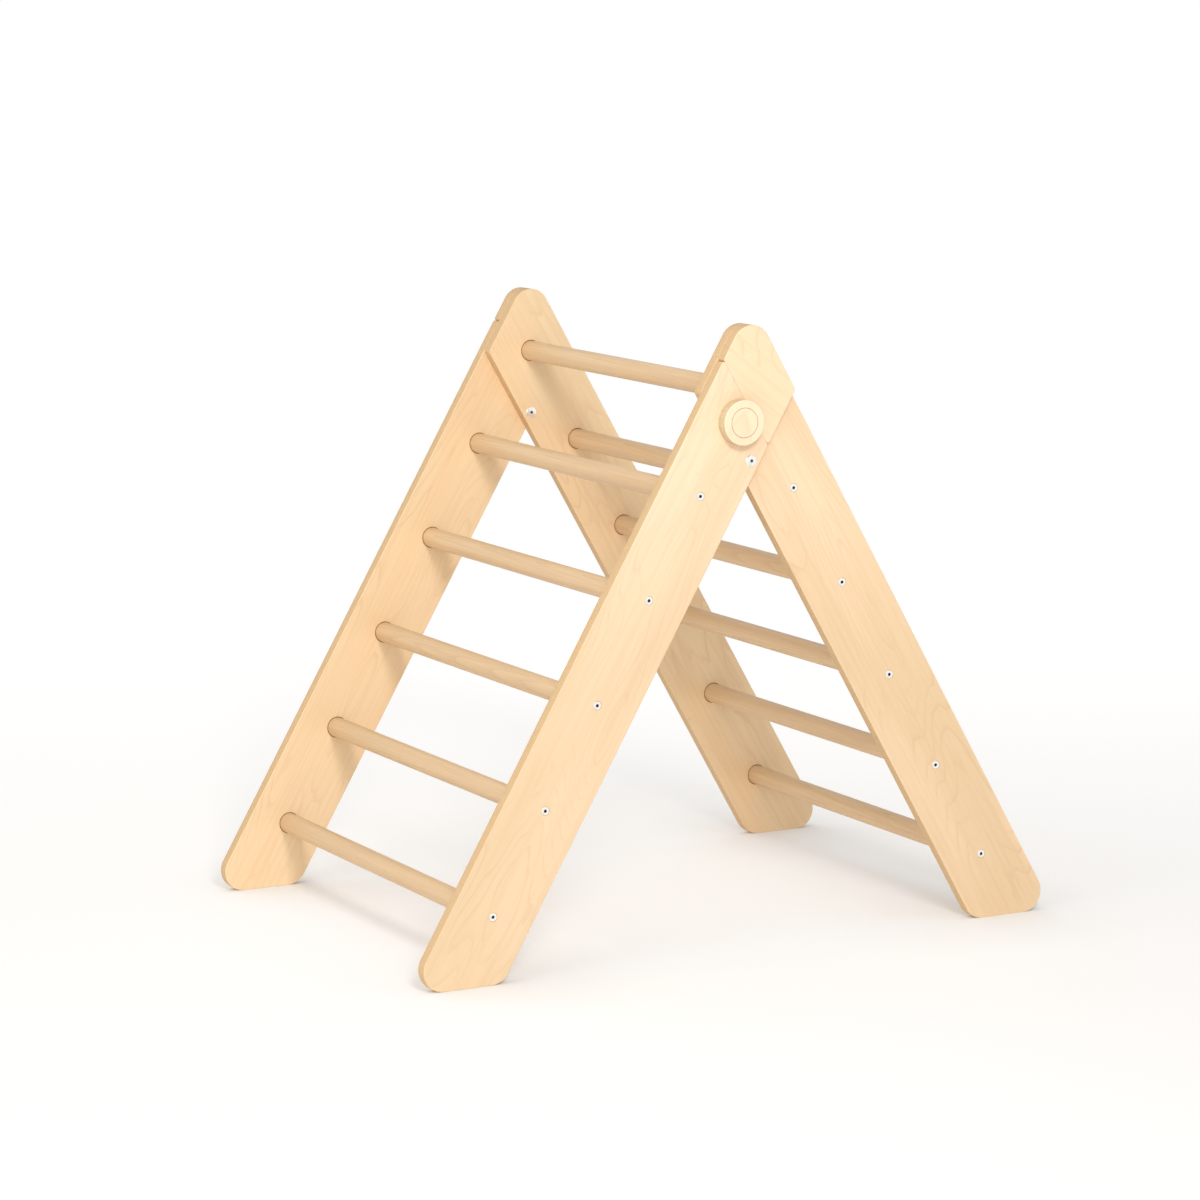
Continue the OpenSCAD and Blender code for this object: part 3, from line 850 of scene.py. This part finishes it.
def bushProfile():
    outer, bore = knob["bushRadius"], knob["bushBore"]
    long, ease = knob["bushLength"], knob["bushChamfer"]
    return [(bore + ease, 0), (outer - ease, 0), (outer, ease), (outer, long - ease),
            (outer - ease, long), (bore + ease, long), (bore, long - ease), (bore, ease),
            (bore + ease, 0)]


def makeStud(long):  # a screw thread: each row of points is cut in to follow the helix
    mesh = newMesh()
    count, rows = knob["threadSides"], round(long / knob["pitch"] * knob["rowsPerPitch"])
    rings = [[mesh.verts.new((0, 0, 0))]]
    for row in range(rows + 1):
        y = long * row / rows
        chamfer = studRadius - knob["studChamfer"] + min(y, long - y)
        ring = []
        for i in range(count):
            phase = (y / knob["pitch"] + i / count) % 1
            cut = min(1, max(0, knob["flank"] * abs(phase - 0.5) - knob["crest"]))
            radius = min(studRadius - knob["threadDeep"] * cut, chamfer)
            turn = 2 * math.pi * i / count
            ring.append(mesh.verts.new((radius * math.cos(turn), y, radius * math.sin(turn))))
        rings.append(ring)
    rings.append([mesh.verts.new((0, long, 0))])
    bands = len(rings) - 1
    addBands(mesh, rings, [0] * bands, [0] * bands)
    return mesh


def addTurned(name, side, mesh, y, materials, body, slot):
    data = finishMesh(mesh, name, materials, (studAt.x, y, studAt.y), sides[side] < 0)
    addPiece(f"{name}_{side}_turned", data, body, slot, f"{name}_{side}")


def addKnobs():
    rows, finishAt, shadeAt = knobProfile()
    studStart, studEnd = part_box("knob_stud_near")[0].y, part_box("knob_stud_near")[1].y
    bushStart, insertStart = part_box("knob_bush_near")[0].y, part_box("panel_insert_near")[0].y
    wood, steel = [finishes["knobFace"], finishes["knobEdge"]], [finishes["steel"]]
    for side in sides:
        disc = makeTurned(rows, meshing["discSides"], finishAt, shadeAt)
        stud = makeStud(studEnd - studStart)
        bush, insert = makeTurned(bushProfile()), makeTurned(bushProfile())
        addTurned("knob_disc", side, disc, knobFace, wood, f"knob_{side}", "birch_ply")
        addTurned("knob_bush", side, bush, bushStart, steel, f"knob_{side}", "steel")
        addTurned("panel_insert", side, insert, insertStart, steel, "rear_ladder", "steel")
        addTurned("knob_stud", side, stud, studStart, steel, f"stud_{side}", "steel")


addKnobs()
print("knobs made")


# Pivots: a bolt from outside and a long sleeve nut from inside, both with low domed heads
pivots = {
    "headRadius": 0.0085, "hex": 0.004, "hexDeep": 0.003, "hexEase": 0.0003,
    "dome": 0.00072, "domePower": 2.2, "domeRings": (0.45, 0.62, 0.78, 0.9),
    "rim": 0.0008, "rimEase": 0.0002, "rimRing": 0.97,  # rings are shares of the head's radius
    "boltRadius": 0.003, "sleeveRadius": 0.005, "sleeveBore": 0.0031, "sleeveBoreDeep": 0.029,
    "socketShade": [0.8, 0.9, 0.3],  # painted shade on the socket's floor, walls and mouth
}


# painted shade for a socket's first bands, and none for the rest
def socketShade(dark, profile):
    return dark + [0] * (len(profile) - 1 - len(dark))


def hexSocket(flats, deep, ease):  # from its floor to its mouth at y = 0
    flat = flats / 2
    return [(0, deep), (flat, deep, "hex"), (flat, ease, "hex"), (flat + ease, 0, "hex")]


def headProfile(height):  # from the socket's floor to the head's underside
    socket = hexSocket(pivots["hex"], pivots["hexDeep"], pivots["hexEase"])
    radius, rim = pivots["headRadius"], height - pivots["rim"]
    domed = [(radius * share, pivots["dome"] * share ** pivots["domePower"])
             for share in pivots["domeRings"]]
    return socket + domed + [(radius * pivots["rimRing"], rim - pivots["rimEase"]),
                             (radius, rim + pivots["rimEase"]), (radius, height)]


def boltProfile(low, high):
    radius, height, long = pivots["boltRadius"], outerFace - low, high - low
    return headProfile(height) + [(radius, height), (radius, long), (0, long)]


def sleeveProfile(low, high):  # its head is at the inner end, so the profile is turned end for end
    radius, bore = pivots["sleeveRadius"], pivots["sleeveBore"]
    height, long = high - innerFace, high - low
    floor = long - pivots["sleeveBoreDeep"]
    rows = headProfile(height) + [(radius, height), (radius, long), (bore, long), (bore, floor),
                                  (0, floor)]
    return [(radius, long - y, *form) for radius, y, *form in rows]


def addPivots():
    for side, sign in sides.items():
        for name, profileAt in (("pivot_bolt", boltProfile), ("pivot_sleeve", sleeveProfile)):
            low, high = (corner.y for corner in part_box(f"{name}_near"))
            profile = profileAt(low, high)
            mesh = makeTurned(profile, shadeAt=socketShade(pivots["socketShade"], profile))
            data = finishMesh(mesh, name, [finishes["nickel"]], (pivot.x, low, pivot.y), sign < 0)
            addPiece(f"{name}_{side}_domed", data, "rear_ladder", "nickel", f"{name}_{side}")


addPivots()
print("pivots made")


# Rungs and their screws are laid out along each ladder by geometry nodes.
rung = {"chamfer": 0.001, "sides": 64, "crease": 30}  # an edge stays sharp from so many degrees on
screw = {
    "headRadius": 0.006, "rim": 0.0008, "cone": 0.0025, "shankRadius": 0.0035, "coreRadius": 0.0025,
    "length": 0.050, "web": 0.010, "hex": 0.004, "hexDeep": 0.0025, "ease": 0.0003,
    # the socket's painted shade is given for its floor, walls and mouth
    "socketShade": [1.0, 0.9, 0.4], "seed": 7,
}


def newNodes(name, inputs):
    tree = bpy.data.node_groups.new(name, "GeometryNodeTree")
    tree.interface.new_socket("Geometry", in_out="OUTPUT", socket_type="NodeSocketGeometry")
    for socket, kind in inputs.items():
        tree.interface.new_socket(socket, in_out="INPUT", socket_type="NodeSocket" + kind)
    return tree, node(tree, "NodeGroupInput").outputs


def shapeNode(tree, kind, inputs, **settings):  # one step in making a shape
    return node(tree, "GeometryNode" + kind, inputs, **settings).outputs[0]


def keepValue(tree, geometry, name, value, **settings):  # for a material to read
    return shapeNode(tree, "StoreNamedAttribute", {"Geometry": geometry, "Name": name,
                                                   "Value": value}, **settings)


def layRow(tree, given, first, **pattern):  # one instance to each rung's place
    row = shapeNode(tree, "MeshLine", {"Count": given["Count"], "Start Location": first,
                                       "Offset": given["Step"]}, mode="OFFSET")
    return shapeNode(tree, "InstanceOnPoints", {"Points": row, **pattern})


def endNodes(tree, placed, finish):
    solid = shapeNode(tree, "RealizeInstances", {"Geometry": placed})
    finished = shapeNode(tree, "SetMaterial", {"Geometry": solid, "Material": finish})
    node(tree, "NodeGroupOutput", {"Geometry": finished})
    return tree


def rungNodes():
    tree, given = newNodes("ladderRungs", {
        "Count": "Int", "First": "Vector", "Step": "Vector", "Radius": "Float", "Length": "Float",
        "Chamfer": "Float", "Sides": "Int", "Finish": "Material"})
    straight = calc(tree, "SUBTRACT", given["Length"], calc(tree, "MULTIPLY", given["Chamfer"], 2.0))
    bar = node(tree, "GeometryNodeMeshCylinder", {
        "Vertices": given["Sides"], "Radius": given["Radius"], "Depth": straight},
        fill_type="NGON").outputs
    ends = node(tree, "FunctionNodeBooleanMath", {0: bar["Top"], 1: bar["Bottom"]},
                operation="OR").outputs[0]
    drawn = node(tree, "GeometryNodeExtrudeMesh", {
        "Mesh": bar["Mesh"], "Selection": ends, "Offset Scale": given["Chamfer"],
        "Individual": False}, mode="FACES").outputs
    small = calc(tree, "SUBTRACT", given["Radius"], given["Chamfer"])
    eased = shapeNode(tree, "ScaleElements", {
        "Geometry": drawn["Mesh"], "Selection": drawn["Top"],
        "Scale": calc(tree, "DIVIDE", small, given["Radius"])})
    laid = shapeNode(tree, "Transform", {"Geometry": eased, "Rotation": (math.pi / 2, 0, 0)})
    bend = node(tree, "GeometryNodeInputMeshEdgeAngle").outputs["Unsigned Angle"]
    smooth = node(tree, "FunctionNodeCompare", {0: bend, 1: math.radians(rung["crease"])},
                  operation="LESS_THAN").outputs[0]
    shaded = shapeNode(tree, "SetShadeSmooth", {"Geometry": laid, "Shade Smooth": smooth},
                       domain="EDGE")
    point = node(tree, "GeometryNodeInputPosition").outputs[0]
    known = keepValue(tree, shaded, "rungPoint", point, data_type="FLOAT_VECTOR", domain="POINT")
    placed = layRow(tree, given, given["First"], Instance=known)
    number = node(tree, "GeometryNodeInputIndex").outputs[0]
    numbered = keepValue(tree, placed, "rungNumber", number, data_type="FLOAT", domain="INSTANCE")
    return endNodes(tree, numbered, given["Finish"])


def screwNodes():
    tree, given = newNodes("rungScrews", {
        "Count": "Int", "First": "Vector", "Step": "Vector", "Face": "Float", "Screw": "Object",
        "Seed": "Int", "Finish": "Material"})
    pattern = node(tree, "GeometryNodeObjectInfo", {"Object": given["Screw"]}).outputs["Geometry"]
    joined = node(tree, "GeometryNodeJoinGeometry")
    for side, (away, turn) in enumerate(((-1.0, 0.0), (1.0, math.pi))):
        shift = joinVector(tree, y=calc(tree, "MULTIPLY", given["Face"], away))
        first = calcVector(tree, "ADD", given["First"], shift)
        spin = node(tree, "FunctionNodeRandomValue", {
            2: 0.0, 3: math.pi / 3, "Seed": calc(tree, "ADD", given["Seed"], float(side))},
            data_type="FLOAT").outputs[1]
        pose = joinVector(tree, y=spin, z=turn)
        placed = layRow(tree, given, first, Instance=pattern, Rotation=pose)
        tree.links.new(placed, joined.inputs[0])
    return endNodes(tree, joined.outputs[0], given["Finish"])


def runNodes(name, tree, values):  # the result as a plain mesh
    holder = addObject(name, bpy.data.meshes.new(name))
    modifier = holder.modifiers.new(name, "NODES")
    modifier.node_group = tree
    for item in tree.interface.items_tree:
        if item.in_out == "INPUT":
            modifier[item.identifier] = values[item.name]
    graph = bpy.context.evaluated_depsgraph_get()
    data = bpy.data.meshes.new_from_object(holder.evaluated_get(graph), preserve_all_data_layers=True,
                                           depsgraph=graph)
    holder.modifiers.remove(modifier)
    bpy.data.objects.remove(holder)
    data.name = name
    return data


def makeScrew():
    head, ease, rim = screw["headRadius"], screw["ease"], screw["rim"]
    shank, core, long = screw["shankRadius"], screw["coreRadius"], screw["length"]
    profile = hexSocket(screw["hex"], screw["hexDeep"], ease)
    profile += [(head - ease, 0), (head, ease), (head, rim), (shank, rim + screw["cone"]),
                (shank, screw["web"]), (core, screw["web"]), (core, long - core), (0, long)]
    mesh = makeTurned(profile, shadeAt=socketShade(screw["socketShade"], profile))
    return addObject("screwPattern", finishMesh(mesh, "screwPattern", []))


def addLadders():
    pattern, rungTree, screwTree = makeScrew(), rungNodes(), screwNodes()
    for ladder, places in rungs.items():
        low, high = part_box(f"{ladder}_rung_1")
        first, step = places[0].copy(), (places[-1] - places[0]) / (len(places) - 1)
        first.y = 0
        data = runNodes(f"{ladder}_rungs", rungTree, {
            "Count": len(places), "First": first, "Step": step, "Radius": rungRadius,
            "Length": high.y - low.y, "Chamfer": rung["chamfer"], "Sides": rung["sides"],
            "Finish": finishes["beech"]})
        names = [f"{ladder}_rung_{i + 1}" for i in range(len(places))]
        addPiece(f"{ladder}_rungs", data, f"{ladder}_ladder", "beech", *names)
        face = -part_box(f"{ladder}_rung_screws_near")[0].y
        data = runNodes(f"{ladder}_screws", screwTree, {
            "Count": len(places), "First": first, "Step": step, "Face": face, "Screw": pattern,
            "Seed": screw["seed"], "Finish": finishes["nickel"]})
        addPiece(f"{ladder}_screws", data, f"{ladder}_ladder", "nickel",
                 *[f"{ladder}_rung_screws_{side}" for side in sides])
    bpy.data.objects.remove(pattern)


addLadders()
print("rungs and screws laid out")

for side in sides:  # the hidden dowels stay the frame's own
    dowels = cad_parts[f"cap_dowels_{side}"]
    dowels.data.materials.clear()
    dowels.data.materials.append(finishes["beech"])
